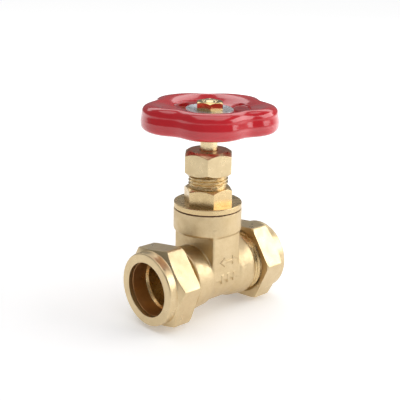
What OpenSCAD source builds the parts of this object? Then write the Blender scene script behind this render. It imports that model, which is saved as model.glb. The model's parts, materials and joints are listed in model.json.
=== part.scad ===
// Gate valve with compression ends, for 28 mm copper tube.
// Millimetres, +Z up. The origin is the centre of the inlet's mouth, and +X runs to the outlet.
// The stem stands at x = stem_x. The wedge is drawn closed, the nuts are drawn run home.

/* [Pipe ends] */
// Overall length, from the inlet nut's face to the outlet nut's face
face_to_face = 83; // [82.6:0.1:84]
// Bore that takes the 28 mm tube
tube_bore_d = 28.2; // [28.1:0.05:28.3]
// Bore of the waterway through the seats
port_d = 22.4; // [18:0.1:22.6]
// Depth from the nut's face to the stop that the tube meets
tube_depth = 24; // [22:0.1:25]
// Outside diameter of the thread on the body's ends
end_thread_d = 32.9; // [32.6:0.1:33]
// Pitch of the thread on the body's ends
end_thread_pitch = 2.309; // [2:0.001:2.4]

/* [Compression nuts] */
// Compression nut, size across flats
nut_af = 39.4; // [38.2:0.1:40]
// Diameter of the nut's round nose
nut_nose_d = 38; // [37:0.1:38]
// Turn of the inlet nut's corners about the pipe
inlet_nut_turn = 21; // [0:1:59]
// Turn of the outlet nut's corners about the pipe
outlet_nut_turn = 25; // [0:1:59]

/* [Body] */
// Diameter of the round collar and of the bonnet's flange
collar_d = 35.6; // [35.4:0.1:37]
// Diameter of the run at its waist
waist_d = 30; // [30:0.1:32]
// Neck, along the pipe
neck_x = 19; // [19:0.1:21]
// Neck, across the pipe
neck_y = 30.4; // [30:0.1:31.4]
// Height of the collar's lower edge over the pipe's axis
collar_z = 23.6; // [23:0.1:25]
// Height of the joint between body and bonnet
parting_z = 35.7; // [35.6:0.1:36]

/* [Bonnet and gland] */
// Bonnet hexagon, size across flats
bonnet_af = 22.6; // [22:0.1:24]
// Thread that carries the packing nut, outside diameter
gland_thread_d = 20.7; // [20.4:0.1:20.8]
// Pitch of that thread
gland_pitch = 1.814; // [1.5:0.001:2]
// Packing nut, size across flats
packing_nut_af = 23.7; // [23.4:0.1:25]
// Turn of the packing nut's corners about the stem
packing_nut_turn = 45; // [0:1:59]

/* [Stem and wedge] */
// Diameter of the stem where it leaves the packing nut
stem_d = 8.9; // [8.6:0.1:9]
// Diameter of the stem's screw
screw_d = 8.4; // [8:0.1:8.4]
// Travel of the wedge from one turn of the stem
screw_lead = 3; // [2.5:0.1:3]
// Travel of the wedge from closed to fully open
lift = 24; // [20:0.1:24]
// Radius of the wedge's disc
wedge_r = 12.6; // [12.4:0.05:12.6]
// Slope of each face of the wedge
wedge_slope = 3; // [2:0.1:3]

/* [Handwheel] */
// Diameter over the handwheel's lobes
wheel_d = 71; // [70:0.1:74]
// Diameter across the handwheel's valleys
valley_d = 62.4; // [61:0.1:64]
// Flattening of the lobes' crests, which narrows the valleys
lobe_flat = 0.45; // [0:0.05:0.5]
// Number of lobes
lobes = 5; // [5:1:6]
// Bearing of the first lobe about the stem
lobe_turn = 13.6; // [0:0.1:71]
// Bearing of the first opening in the web
opening_turn = 326; // [0:1:359]
// Thickness of the pressed sheet
sheet = 1.6; // [1.4:0.1:1.8]
// Diameter of the silver hub disc
disc_d = 24.3; // [23:0.1:25]
// Wheel nut, size across flats
wheel_nut_af = 13; // [12.7:0.1:13.2]

/* [Hidden] */
$fn = 96;
eps = 0.01;

// colours
cast_brass = [0.82, 0.72, 0.53];
turned_brass = [0.86, 0.73, 0.46];
nut_brass = [0.85, 0.75, 0.55];
copper = [0.70, 0.36, 0.18];
enamel = [0.75, 0.07, 0.09];
zinc = [0.76, 0.77, 0.79];
graphite = [0.16, 0.16, 0.17];
fibre = [0.42, 0.20, 0.12];
acetal = [0.90, 0.89, 0.85];

// pipe ends, as distances from the stem's axis along the pipe
stem_x = face_to_face / 2;
stop_x = stem_x - tube_depth;
tube_r = tube_bore_d / 2;
port_r = port_d / 2;
thread_from = 22.5;
thread_to = 30.5;
thread_r = end_thread_d / 2;
relief_from = 20.3;
relief_r = 15.3;
shoulder_r = 16.8;
mouth_r = 15.6;
mouth_depth = 2.6;

// compression nut, as distances from the stem's axis
nut_from = 24.4;
hex_to = 34.5;
hex_end = 36.3;
nut_thread_r = thread_r + 0.3;
nose_r = nut_nose_d / 2;
nose_round = 0.9;
nut_mouth_r = nut_thread_r + 0.9;
nut_seat_from = 36.5;
nut_seat_to = 39.4;
nut_seat_r = nut_thread_r;

// olive, as distances from the stem's axis
olive_from = 28.35;
olive_to = 39.1;
olive_r = 16.1;
olive_end_r = 14.25;
olive_taper = 3.2;

// body
waist_r = waist_d / 2;
waist_x = 6.5;
flare_x = 12.5;
neck_round = 1.6;
collar_r = collar_d / 2;
collar_chamfer = 0.8;
cavity_x = 7.2;
cavity_r = 13.2;
collar_floor_z = 27.6;
collar_thread_r = 16.1;
throat_r = 14.2;
guide_y = 11.75;
guide_x = 1.15;
guide_from = -3;
mark_z = 9;
mark_h = 0.4;

// wedge
wedge_half = 5.8;
seat_gap = 0.1;
boss_r = 6.2;
boss_from = 8;
boss_top = 19.5;
screw_r = screw_d / 2;
screw_hole_r = screw_r + 0.15;
screw_hole_z = -10.2;
groove_y = 11.45;
groove_x = 1.4;

// bonnet
gasket_h = 0.6;
gasket_r = collar_r - 0.7;
bonnet_z = parting_z + gasket_h;
flange_top = 39.1;
skirt_from = 28;
skirt_r = 15.75;
skirt_bore_r = 14.1;
dome_z = 37.1;
dome_bore_r = 7.4;
floor_z = 43.8;
box_z = 46.5;
box_r = 7.3;
bonnet_hex_top = 46.9;
bonnet_hex_turn = 240;
bonnet_hex_cut = 1.7;
skirt_pitch = 1.5;
skirt_groove = 0.6;
gland_r = gland_thread_d / 2;
gland_relief_r = gland_r - 1;
gland_top = 61;
gland_relief_h = 1;
gland_length = gland_top - bonnet_hex_top - gland_relief_h;
gland_groove = 0.8;

// stem
stem_r = stem_d / 2;
stem_foot = 14.2;
thrust_r = 6.95;
thrust_from = 46.7;
thrust_to = 48.9;
thrust_h = thrust_to - thrust_from;
shoulder_z = 79.4;
drive_square = 7.9;
drive_gap = 0.05;
stud_r = 3.9;
stem_top = 92.6;
stud_round = 4.6;

// packing
washer_from = 49.1;
washer_h = 0.8;
packing_from = 50;
packing_h = 2;
packing_gap = 0.03;
packing_bore_r = stem_r + 0.07;
packing_r = box_r - 0.08;
follower_from = 56.2;
follower_shoulder = 61.3;
follower_to = 62.2;
follower_r = box_r - 0.2;
follower_head_r = 8.6;
packing_nut_from = 53.6;
packing_nut_to = 66.4;
packing_nut_ceiling = 62.3;
packing_nut_cut = 3;
packing_nut_foot = 2.7;
thread_gap = 0.25;

// handwheel
rim_from = 77.2;
rim_to = 91;
web_z = 86.4;
hub_r = 6.6;
hub_from = 79.8;
web_r = 13;
opening_from = 12.8;
opening_to = 20.8;
openings = 3;
opening_half = 22;
disc_h = 0.8;
disc_top = web_z + disc_h;
wheel_nut_to = 91.5;
wheel_nut_turn = 228;
wheel_nut_cut = 1;
wheel_nut_foot = 0.5;
crest_r = 28;
crest_z = 90.7;

function af_r(af) = af / 2 / cos(30);

// carries its children from the stem's axis to their place in the valve
module on_stem() {
    translate([stem_x, 0, 0]) children();
}

// turns a profile of (radius, distance) about the pipe's axis
module about_pipe() {
    rotate([0, 90, 0]) rotate_extrude() children();
}

// draws its children at the outlet end, or mirrored at the inlet end
module at_end(side) {
    on_stem() mirror([side < 0 ? 1 : 0, 0, 0]) children();
}

// V grooves around the Z axis, which stand for a thread of this pitch
module thread_grooves(r, pitch, from, to, depth) {
    half = pitch * 0.36;
    for (z = [from + pitch / 2 : pitch : to - pitch / 4])
        translate([0, 0, z])
            rotate_extrude()
                polygon([[r - depth, -0.1], [r - depth, 0.1], [r + 0.3, half], [r + 0.3, -half]]);
}

// a washer or ring standing on z
module ring(z, h, outer, bore) {
    translate([0, 0, z])
        difference() {
            cylinder(h = h, r = outer);
            translate([0, 0, -eps]) cylinder(h = h + 2 * eps, r = bore);
        }
}

// hexagonal prism with its corners turned off at both ends
module hexagon(af, z, h, turn, top_cut, foot_cut) {
    r = af_r(af);
    slope = 0.75;
    translate([0, 0, z])
        intersection() {
            rotate([0, 0, turn]) cylinder(h = h, r = r, $fn = 6);
            rotate_extrude()
                polygon([
                    [0, 0], [r - foot_cut, 0], [r + eps, foot_cut * slope],
                    [r + eps, h - top_cut * slope], [r - top_cut, h], [0, h]
                ]);
        }
}

module neck_outline(x, y, r) {
    square([x - 2 * r, y], center = true);
    square([x, y - 2 * r], center = true);
    for (sx = [-1, 1], sy = [-1, 1])
        translate([sx * (x / 2 - r), sy * (y / 2 - r)]) circle(r = r);
}

// outline of the run and of one threaded end, as (radius, distance)
module end_profile() {
    polygon([
        [0, 0], [waist_r, 0], [waist_r, waist_x], [shoulder_r, flare_x], [shoulder_r, relief_from - 0.5],
        [shoulder_r - 0.5, relief_from], [relief_r, relief_from], [relief_r, thread_from],
        [thread_r - 0.8, thread_from], [thread_r, thread_from + 0.8], [thread_r, thread_to - 0.6],
        [thread_r - 0.5, thread_to], [0, thread_to]
    ]);
}

// waterway, tube socket and mouth of one end
module end_bore_profile() {
    polygon([
        [0, -1], [port_r, -1], [port_r, stop_x], [tube_r, stop_x], [tube_r, thread_to - mouth_depth],
        [mouth_r, thread_to], [mouth_r, thread_to + 1], [0, thread_to + 1]
    ]);
}

// space between two faces that slope apart upwards, grown by gap
module wedge_space(gap) {
    low = -20;
    high = 40;
    run_low = wedge_half + gap + low * tan(wedge_slope);
    run_high = wedge_half + gap + high * tan(wedge_slope);
    translate([0, 20, 0])
        rotate([90, 0, 0])
            linear_extrude(height = 40)
                polygon([[-run_low, low], [run_low, low], [run_high, high], [-run_high, high]]);
}

// raised arrow with a head at each end, for a valve that may be fitted either way round
module flow_mark() {
    half = 6;
    head = 3;
    shaft = 0.7;
    barb = 2;
    for (side = [0, 1])
        mirror([side, 0, 0])
            polygon([[0, -shaft], [half - head, -shaft], [half - head, -barb], [half, 0],
                     [half - head, barb], [half - head, shaft], [0, shaft]]);
}

module body_shell() {
    for (side = [0, 1]) mirror([side, 0, 0]) about_pipe() end_profile();
    linear_extrude(height = collar_z + 1) neck_outline(neck_x, neck_y, neck_round);
    translate([0, -neck_y / 2 + 1, mark_z])
        rotate([90, 0, 0])
            linear_extrude(height = 1 + mark_h) flow_mark();
    translate([0, 0, collar_z])
        rotate_extrude()
            polygon([
                [0, 0], [collar_r - collar_chamfer, 0], [collar_r, collar_chamfer],
                [collar_r, parting_z - collar_z - 0.3], [collar_r - 0.3, parting_z - collar_z],
                [0, parting_z - collar_z]
            ]);
}

// chamber in which the wedge travels, with the thread for the bonnet over it
module body_chamber() {
    rotate([0, 90, 0]) cylinder(h = 2 * cavity_x, r = cavity_r, center = true);
    translate([-cavity_x, -cavity_r, 0]) cube([2 * cavity_x, 2 * cavity_r, collar_floor_z + eps]);
    translate([0, 0, collar_z + 1.6]) cylinder(h = 20, r = throat_r);
    translate([0, 0, collar_floor_z]) cylinder(h = 20, r = collar_thread_r);
}

// two raised seats, faced to the wedge's slope, and two ribs that guide the wedge
module seats_and_guides() {
    difference() {
        rotate([0, 90, 0]) cylinder(h = 2 * cavity_x + 1, r = cavity_r + 0.2, center = true);
        wedge_space(seat_gap);
    }
    for (side = [-1, 1])
        translate([-guide_x, side * (guide_y + 1) - 1, guide_from])
            cube([2 * guide_x, 2, collar_floor_z - 1 - guide_from]);
}

module body() {
    color(cast_brass) on_stem() difference() {
        union() {
            difference() {
                body_shell();
                body_chamber();
            }
            seats_and_guides();
        }
        for (side = [0, 1]) mirror([side, 0, 0]) about_pipe() end_bore_profile();
        for (side = [0, 1]) mirror([side, 0, 0]) rotate([0, 90, 0])
            thread_grooves(thread_r, end_thread_pitch, thread_from + 0.6, thread_to, 0.75);
    }
}

module bonnet() {
    color(turned_brass) on_stem() difference() {
        union() {
            translate([0, 0, skirt_from]) cylinder(h = bonnet_z - skirt_from + eps, r = skirt_r);
            translate([0, 0, bonnet_z])
                rotate_extrude()
                    polygon([
                        [0, 0], [collar_r - 0.3, 0], [collar_r, 0.3],
                        [collar_r, flange_top - bonnet_z - 0.4], [collar_r - 0.4, flange_top - bonnet_z],
                        [0, flange_top - bonnet_z]
                    ]);
            hexagon(bonnet_af, flange_top - eps, bonnet_hex_top - flange_top + eps,
                    bonnet_hex_turn, bonnet_hex_cut, 0);
            translate([0, 0, bonnet_hex_top - 1]) cylinder(h = gland_relief_h + 1.4, r = gland_relief_r);
            translate([0, 0, bonnet_hex_top + gland_relief_h])
                rotate_extrude()
                    polygon([
                        [0, 0], [gland_relief_r, 0], [gland_r, 0.6], [gland_r, gland_length - 0.8],
                        [gland_r - 0.8, gland_length], [0, gland_length]
                    ]);
        }
        translate([0, 0, skirt_from - 1]) cylinder(h = dome_z - skirt_from + 1, r = skirt_bore_r);
        translate([0, 0, dome_z - 1]) cylinder(h = floor_z - dome_z + 1, r = dome_bore_r);
        translate([0, 0, floor_z - 1]) cylinder(h = box_z - floor_z + 2, r = screw_r + 0.15);
        translate([0, 0, box_z]) cylinder(h = gland_top - box_z + 1, r = box_r);
        thread_grooves(gland_r, gland_pitch, bonnet_hex_top + gland_relief_h + 0.4, gland_top - 0.4,
                       gland_groove);
        thread_grooves(skirt_r, skirt_pitch, skirt_from + 0.5, parting_z - 1, skirt_groove);
    }
}

module bonnet_gasket() {
    color(fibre) on_stem() ring(parting_z, gasket_h, gasket_r, skirt_r + 0.1);
}

module stem() {
    color(turned_brass) on_stem() difference() {
        union() {
            translate([0, 0, stem_foot])
                rotate_extrude()
                    polygon([
                        [0, 0], [screw_r - 0.8, 0], [screw_r, 0.8],
                        [screw_r, thrust_from - stem_foot + eps],
                        [0, thrust_from - stem_foot + eps]
                    ]);
            translate([0, 0, thrust_from])
                rotate_extrude()
                    polygon([
                        [0, 0], [thrust_r - 0.3, 0], [thrust_r, 0.3], [thrust_r, thrust_h - 0.3],
                        [thrust_r - 0.3, thrust_h], [0, thrust_h]
                    ]);
            translate([0, 0, thrust_to - eps]) cylinder(h = shoulder_z - thrust_to + eps, r = stem_r);
            intersection() {
                translate([-drive_square / 2, -drive_square / 2, shoulder_z - eps])
                    cube([drive_square, drive_square, web_z - shoulder_z]);
                translate([0, 0, shoulder_z - 1]) cylinder(h = 10, r = stem_r);
            }
            intersection() {
                translate([0, 0, web_z - 1]) cylinder(h = stem_top - web_z + 1, r = stud_r);
                translate([0, 0, stem_top - stud_round]) sphere(r = stud_round + eps);
            }
            translate([0, 0, web_z - 0.6]) cylinder(h = stem_top - web_z - 2, r = stud_r);
        }
        thread_grooves(screw_r, screw_lead, stem_foot + 1, thrust_from - 2, 1);
    }
}

module thrust_washer() {
    color(acetal) on_stem() ring(washer_from, washer_h, packing_r, packing_bore_r);
}

module packing_ring(row) {
    color(graphite) on_stem()
        ring(packing_from + row * (packing_h + packing_gap), packing_h, packing_r, packing_bore_r);
}

module packing_ring_lower() {
    packing_ring(0);
}

module packing_ring_middle() {
    packing_ring(1);
}

module packing_ring_upper() {
    packing_ring(2);
}

module gland_follower() {
    color(turned_brass) on_stem() difference() {
        union() {
            translate([0, 0, follower_from]) cylinder(h = follower_to - follower_from, r = follower_r);
            translate([0, 0, follower_shoulder])
                cylinder(h = follower_to - follower_shoulder, r = follower_head_r);
        }
        translate([0, 0, follower_from - 1]) cylinder(h = 10, r = stem_r + 0.1);
    }
}

module packing_nut() {
    color(nut_brass) on_stem() difference() {
        hexagon(packing_nut_af, packing_nut_from, packing_nut_to - packing_nut_from,
                packing_nut_turn, packing_nut_cut, packing_nut_foot);
        translate([0, 0, packing_nut_from - 1])
            cylinder(h = packing_nut_ceiling - packing_nut_from + 1, r = gland_r + thread_gap);
        translate([0, 0, packing_nut_ceiling - 1]) cylinder(h = 10, r = stem_r + thread_gap);
        translate([0, 0, packing_nut_to - 0.5])
            cylinder(h = 0.5 + eps, r1 = stem_r + thread_gap, r2 = stem_r + thread_gap + 0.5);
    }
}

module wedge() {
    color(cast_brass) on_stem() difference() {
        union() {
            intersection() {
                rotate([0, 90, 0]) cylinder(h = 2 * cavity_x, r = wedge_r, center = true);
                wedge_space(0);
            }
            translate([0, 0, boss_from]) cylinder(h = boss_top - boss_from, r = boss_r);
        }
        translate([0, 0, screw_hole_z]) cylinder(h = boss_top - screw_hole_z + 1, r = screw_hole_r);
        for (side = [-1, 1])
            translate([-groove_x, side * (groove_y + 2) - 2, -wedge_r - 1])
                cube([2 * groove_x, 4, 2 * wedge_r + 2]);
    }
}

// compression nut about the pipe's axis, its nose outwards
module compression_nut(turn) {
    corner = af_r(nut_af);
    difference() {
        union() {
            intersection() {
                rotate([turn, 0, 0])
                    rotate([0, 90, 0])
                        translate([0, 0, nut_from])
                            cylinder(h = hex_end - nut_from, r = corner, $fn = 6);
                about_pipe()
                    polygon([
                        [0, nut_from], [corner - 0.9, nut_from], [corner + eps, nut_from + 0.5],
                        [corner + eps, hex_to], [nose_r + 0.2, hex_end], [0, hex_end]
                    ]);
            }
            about_pipe()
                polygon([
                    [0, hex_to], [nose_r, hex_to], [nose_r, stem_x - nose_round],
                    [nose_r - nose_round * 0.3, stem_x - nose_round * 0.3],
                    [nose_r - nose_round, stem_x], [0, stem_x]
                ]);
        }
        about_pipe()
            polygon([
                [0, nut_from - 1], [nut_mouth_r, nut_from - 1], [nut_mouth_r, nut_from],
                [nut_thread_r, nut_from + 0.9], [nut_seat_r, nut_seat_from], [tube_r, nut_seat_to],
                [tube_r, stem_x + 1], [0, stem_x + 1]
            ]);
    }
}

module inlet_nut() {
    color(nut_brass) at_end(-1) compression_nut(inlet_nut_turn);
}

module outlet_nut() {
    color(nut_brass) at_end(1) compression_nut(outlet_nut_turn);
}

// barrel-shaped ring that the nut squeezes onto the tube
module olive() {
    about_pipe()
        polygon([
            [tube_r, olive_from], [olive_end_r, olive_from], [olive_r, olive_from + olive_taper],
            [olive_r, olive_to - olive_taper], [olive_end_r, olive_to], [tube_r, olive_to]
        ]);
}

module inlet_olive() {
    color(copper) at_end(-1) olive();
}

module outlet_olive() {
    color(copper) at_end(1) olive();
}

// outline of the lobed rim, set in by inset
module lobed(inset) {
    mean = (wheel_d + valley_d) / 4 + lobe_flat;
    swell = (wheel_d - valley_d) / 4;
    step = 3;
    polygon([
        for (bearing = [0 : step : 360 - step])
            let (
                phase = lobes * (bearing - lobe_turn),
                r = mean - inset + swell * cos(phase) - lobe_flat * cos(2 * phase)
            )
                [r * cos(bearing), r * sin(bearing)]
    ]);
}

// upper face of the wheel from the hub outwards, as (radius, height); drop lowers it to the underside
module crown_profile(drop) {
    polygon([
        [0, rim_from - 2], [0, web_z - drop], [web_r, web_z - drop], [crest_r - 6, crest_z - 1.9 - drop],
        [crest_r - 2.5, crest_z - 0.6 - drop], [crest_r, crest_z - drop],
        [crest_r + 2.4, crest_z - 0.2 - drop], [crest_r + 4.4, crest_z - 1 - drop],
        [crest_r + 6, crest_z - 2.4 - drop], [crest_r + 7.2, crest_z - 4.5 - drop],
        [crest_r + 10, crest_z - 10 - drop], [crest_r + 10, rim_from - 2]
    ]);
}

// kidney-shaped holes through the web, each with round ends
module web_openings() {
    mid = (opening_from + opening_to) / 2;
    end_r = (opening_to - opening_from) / 2 + 0.5;
    far = 40;
    intersection() {
        difference() {
            circle(r = opening_to);
            circle(r = opening_from);
        }
        for (i = [0 : openings - 1])
            rotate(opening_turn + i * 360 / openings) {
                polygon([
                    [0, 0], [far * cos(opening_half), far * sin(opening_half)], [far, 0],
                    [far * cos(opening_half), -far * sin(opening_half)]
                ]);
                for (side = [-1, 1])
                    rotate(side * opening_half) translate([mid, 0]) circle(r = end_r);
            }
    }
}

module handwheel() {
    hole = drive_square + 2 * drive_gap;
    color(enamel) on_stem() difference() {
        union() {
            difference() {
                intersection() {
                    translate([0, 0, rim_from]) linear_extrude(height = rim_to - rim_from) lobed(0);
                    rotate_extrude() crown_profile(0);
                }
                intersection() {
                    translate([0, 0, rim_from - 1]) linear_extrude(height = rim_to - rim_from) lobed(sheet);
                    rotate_extrude() crown_profile(sheet);
                }
                translate([0, 0, rim_from]) linear_extrude(height = rim_to - rim_from) web_openings();
            }
            translate([0, 0, hub_from]) cylinder(h = web_z - hub_from - 0.5, r = hub_r);
        }
        intersection() {
            translate([-hole / 2, -hole / 2, hub_from - 1]) cube([hole, hole, 10]);
            translate([0, 0, hub_from - 1]) cylinder(h = 10, r = stem_r + drive_gap);
        }
    }
}

module hub_disc() {
    color(zinc) on_stem() ring(web_z, disc_h, disc_d / 2, stud_r + 0.2);
}

module wheel_nut() {
    color(turned_brass) on_stem() difference() {
        hexagon(wheel_nut_af, disc_top, wheel_nut_to - disc_top,
                wheel_nut_turn, wheel_nut_cut, wheel_nut_foot);
        translate([0, 0, disc_top - 1]) cylinder(h = 10, r = stud_r + 0.05);
    }
}

body();
bonnet();
bonnet_gasket();
stem();
thrust_washer();
packing_ring_lower();
packing_ring_middle();
packing_ring_upper();
gland_follower();
packing_nut();
wedge();
inlet_nut();
inlet_olive();
outlet_nut();
outlet_olive();
handwheel();
hub_disc();
wheel_nut();
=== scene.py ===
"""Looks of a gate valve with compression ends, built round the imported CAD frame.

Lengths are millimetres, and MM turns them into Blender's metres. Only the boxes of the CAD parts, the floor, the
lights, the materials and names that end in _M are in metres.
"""
import json
import math

import bmesh
import bpy
import numpy as np
from mathutils import Matrix, Vector


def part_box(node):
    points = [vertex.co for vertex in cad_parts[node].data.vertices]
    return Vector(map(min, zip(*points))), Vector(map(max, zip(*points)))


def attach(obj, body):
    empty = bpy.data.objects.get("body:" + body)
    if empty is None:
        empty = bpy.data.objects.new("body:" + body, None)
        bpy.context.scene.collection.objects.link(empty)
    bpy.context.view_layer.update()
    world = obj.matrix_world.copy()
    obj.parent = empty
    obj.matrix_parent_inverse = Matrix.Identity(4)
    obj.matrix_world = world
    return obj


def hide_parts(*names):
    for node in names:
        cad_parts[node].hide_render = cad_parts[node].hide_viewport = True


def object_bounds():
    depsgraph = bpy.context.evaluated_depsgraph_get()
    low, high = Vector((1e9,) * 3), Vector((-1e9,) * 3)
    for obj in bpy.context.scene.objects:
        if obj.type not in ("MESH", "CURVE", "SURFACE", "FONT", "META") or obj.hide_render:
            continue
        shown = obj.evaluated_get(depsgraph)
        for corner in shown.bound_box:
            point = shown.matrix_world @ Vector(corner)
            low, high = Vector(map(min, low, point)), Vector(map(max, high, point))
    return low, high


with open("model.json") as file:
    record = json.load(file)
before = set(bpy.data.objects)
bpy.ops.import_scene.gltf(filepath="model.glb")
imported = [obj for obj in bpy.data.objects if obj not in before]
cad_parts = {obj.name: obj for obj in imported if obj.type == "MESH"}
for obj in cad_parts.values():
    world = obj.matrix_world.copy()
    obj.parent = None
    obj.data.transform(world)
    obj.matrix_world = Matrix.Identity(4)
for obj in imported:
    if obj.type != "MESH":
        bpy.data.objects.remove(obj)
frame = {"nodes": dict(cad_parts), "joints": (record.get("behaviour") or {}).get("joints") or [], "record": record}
cad_box = [list(corner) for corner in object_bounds()]

MM = 0.001
TURN = 2 * math.pi
JOINTS = {joint["name"]: joint for joint in frame["joints"]}
STEM_X = JOINTS["stem_turn"]["pos_m"][0] / MM
PIPE_PITCH, GLAND_PITCH, SCREW_LEAD, STUD_PITCH = 2.309, 1.814, 3.0, 1.25


def span(node, axis):
    """Lowest and highest coordinate of a CAD node along an axis."""
    low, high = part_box(node)
    return low[axis] / MM, high[axis] / MM


def reach(node, side):
    """Nearest and farthest distance of an end fitting from the stem's axis along the pipe."""
    ends = sorted(side * (x - STEM_X) for x in span(node, 0))
    return ends[0], ends[1]


# ---------------------------------------------------------------------------------------------------
# camera
# ---------------------------------------------------------------------------------------------------

def add_object(name, data):
    """New object that holds the data, linked into the scene."""
    thing = bpy.data.objects.new(name, data)
    bpy.context.scene.collection.objects.link(thing)
    return thing


def make_camera():
    """Camera a little above the valve, in front of it and to the inlet's side."""
    azimuth, elevation, roll = math.radians(-42.9), math.radians(16.9), math.radians(1.02)
    distance = 435 * MM
    aim_right, aim_up = -4.06 * MM, 39.27 * MM
    back = Vector((math.sin(azimuth) * math.cos(elevation), -math.cos(azimuth) * math.cos(elevation),
                   math.sin(elevation)))
    right = Vector((math.cos(azimuth), math.sin(azimuth), 0))
    up = back.cross(right)
    turned_right = right * math.cos(roll) + up * math.sin(roll)
    turned_up = up * math.cos(roll) - right * math.sin(roll)
    target = Vector((STEM_X * MM, 0, 0)) + right * aim_right + Vector((0, 0, aim_up))
    data = bpy.data.cameras.new("camera")
    data.sensor_width = 36
    data.lens = 75.04
    data.clip_start = 0.01
    camera = add_object("camera", data)
    place = Matrix((turned_right, turned_up, back)).transposed().to_4x4()
    place.translation = target + back * distance
    camera.matrix_world = place
    bpy.context.scene.camera = camera


make_camera()


# ---------------------------------------------------------------------------------------------------
# mesh making
# ---------------------------------------------------------------------------------------------------

MERGE_M = 2e-6          # points nearer than this become one
AXIS_R = 1e-3           # radius of a ring that merges to a point on its axis
ARC_STEP = 18           # most degrees that one piece of a rounded corner turns through
SIDE_SHARE = 0.48       # most of a side that the rounding at one of its ends takes
STRAIGHT = 0.02         # a bend below this many radians isn't rounded


def on_stem(r, h, turn):
    """Points at radius r, height h and bearing turn about the stem's axis."""
    return np.stack([STEM_X + r * np.cos(turn), r * np.sin(turn), h], -1)


def on_pipe(side):
    """Placer for points at radius r, distance h from the stem towards one end, and turn from the top."""
    def place(r, h, turn):
        return np.stack([STEM_X + side * h, -r * np.sin(turn), r * np.cos(turn)], -1)
    return place


def new_object(name, points, faces, sharp):
    """Closed mesh from points in millimetres, shaded smooth except where it bends by over sharp degrees."""
    mesh = bpy.data.meshes.new(name)
    mesh.from_pydata((np.asarray(points) * MM).tolist(), [], [tuple(f) for f in faces])
    work = bmesh.new()
    work.from_mesh(mesh)
    bmesh.ops.remove_doubles(work, verts=work.verts, dist=MERGE_M)
    bmesh.ops.recalc_face_normals(work, faces=work.faces)
    work.to_mesh(mesh)
    work.free()
    mesh.shade_smooth()
    mesh.set_sharp_from_angle(angle=math.radians(sharp))
    return add_object(name, mesh)


def rounded(corners, step, closed=True):
    """Outline through corners (radius, height, rounding), rounded at each, with no gap over step."""
    count = len(corners)
    flat = []
    for i, (r, h, rounding) in enumerate(corners):
        here = np.array([r, h], float)
        if not closed and i in (0, count - 1) or rounding <= 0:
            flat.append(here)
            continue
        before = np.array(corners[i - 1][:2], float) - here
        after = np.array(corners[(i + 1) % count][:2], float) - here
        reach_1, reach_2 = np.linalg.norm(before), np.linalg.norm(after)
        before, after = before / reach_1, after / reach_2
        bend = math.pi - math.acos(float(np.clip(before @ after, -1, 1)))
        if bend < STRAIGHT:
            flat.append(here)
            continue
        cut = min(rounding * math.tan(bend / 2), SIDE_SHARE * reach_1, SIDE_SHARE * reach_2)
        pieces = max(2, math.ceil(math.degrees(bend) / ARC_STEP))
        start, end = here + before * cut, here + after * cut
        for k in range(pieces + 1):
            t = k / pieces
            flat.append((1 - t) ** 2 * start + 2 * t * (1 - t) * here + t ** 2 * end)
    line = []
    pairs = zip(flat, flat[1:] + flat[:1]) if closed else zip(flat, flat[1:])
    for a, b in pairs:
        parts = max(1, math.ceil(np.linalg.norm(b - a) / step))
        line += [a + (b - a) * k / parts for k in range(parts)]
    if not closed:
        line.append(flat[-1])
    return np.array(line)


def grid_quads(index, closed=False):
    """Quads between the rows of a grid that runs all round; closed also joins its last row to its first."""
    lower = index if closed else index[:-1]
    upper = np.roll(index, -1, 0) if closed else index[1:]
    return np.stack([lower, np.roll(lower, -1, 1), np.roll(upper, -1, 1), upper], -1).reshape(-1, 4)


def revolve(profile, place, around, warp=None, closed=True):
    """Profile rows (radius, height) carried round an axis; warp(r, h, turn) may change each radius."""
    turns = np.arange(around) * TURN / around
    r, turn = np.meshgrid(profile[:, 0], turns, indexing="ij")
    h, _ = np.meshgrid(profile[:, 1], turns, indexing="ij")
    if warp:
        r = warp(r, h, turn)
    points = place(r, h, turn).reshape(-1, 3)
    index = np.arange(len(profile) * around).reshape(len(profile), around)
    return points, grid_quads(index, closed).tolist()


def cap_axis(profile):
    """Ends of an open profile pulled in to the axis, so that its last rings close to a point."""
    first, last = profile[0].copy(), profile[-1].copy()
    first[0] = last[0] = AXIS_R
    return np.vstack([[first], profile, [last]])


def soft_min(a, b, width):
    """Smaller of two values, with the corner between them rounded over about width."""
    blend = np.clip(0.5 + 0.5 * (b - a) / width, 0, 1)
    return b * (1 - blend) + a * blend - width * blend * (1 - blend)


def soft_max(a, b, width):
    """Larger of two values, with the corner between them rounded over about width."""
    return -soft_min(-a, -b, width)


def smooth_step(start, stop, x):
    """Rises smoothly from 0 at start to 1 at stop."""
    t = np.clip((x - start) / (stop - start), 0, 1)
    return t * t * (3 - 2 * t)


def window(start, full, fall, stop, x):
    """1 from full to fall, 0 outside start and stop, with smooth steps between."""
    return smooth_step(start, full, x) * (1 - smooth_step(fall, stop, x))


def corner_distance(a, b):
    """Distance to a right-angled corner, from the distances past its two sides."""
    return np.hypot(np.maximum(a, 0), np.maximum(b, 0)) + np.minimum(np.maximum(a, b), 0)


def corner_radius(across_flats):
    """Distance from a hexagon's middle to its corners."""
    return across_flats / 2 / math.cos(math.radians(30))


def hexagon_radius(across_flats, corner_at, turn):
    """Distance from the axis to a hexagon's side, its six edges just broken."""
    power = 110
    total = sum(np.abs(np.cos(turn - corner_at - math.radians(30 + 60 * i))) ** power for i in range(3))
    return across_flats / 2 / total ** (1 / power)


def thread_depth(h, turn, pitch, hand=1):
    """From 0 at a thread's crest to 1 at its root, for a rounded V thread; hand is -1 for a left-hand one."""
    flat, flank = 0.08, 0.84
    phase = (h / pitch - hand * turn / TURN) % 1.0
    vee = np.abs(2 * phase - 1)
    return 0.5 - 0.5 * np.cos(np.pi * np.clip((vee - flat) / flank, 0, 1))


# ---------------------------------------------------------------------------------------------------
# solids from a distance field
# ---------------------------------------------------------------------------------------------------

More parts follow.
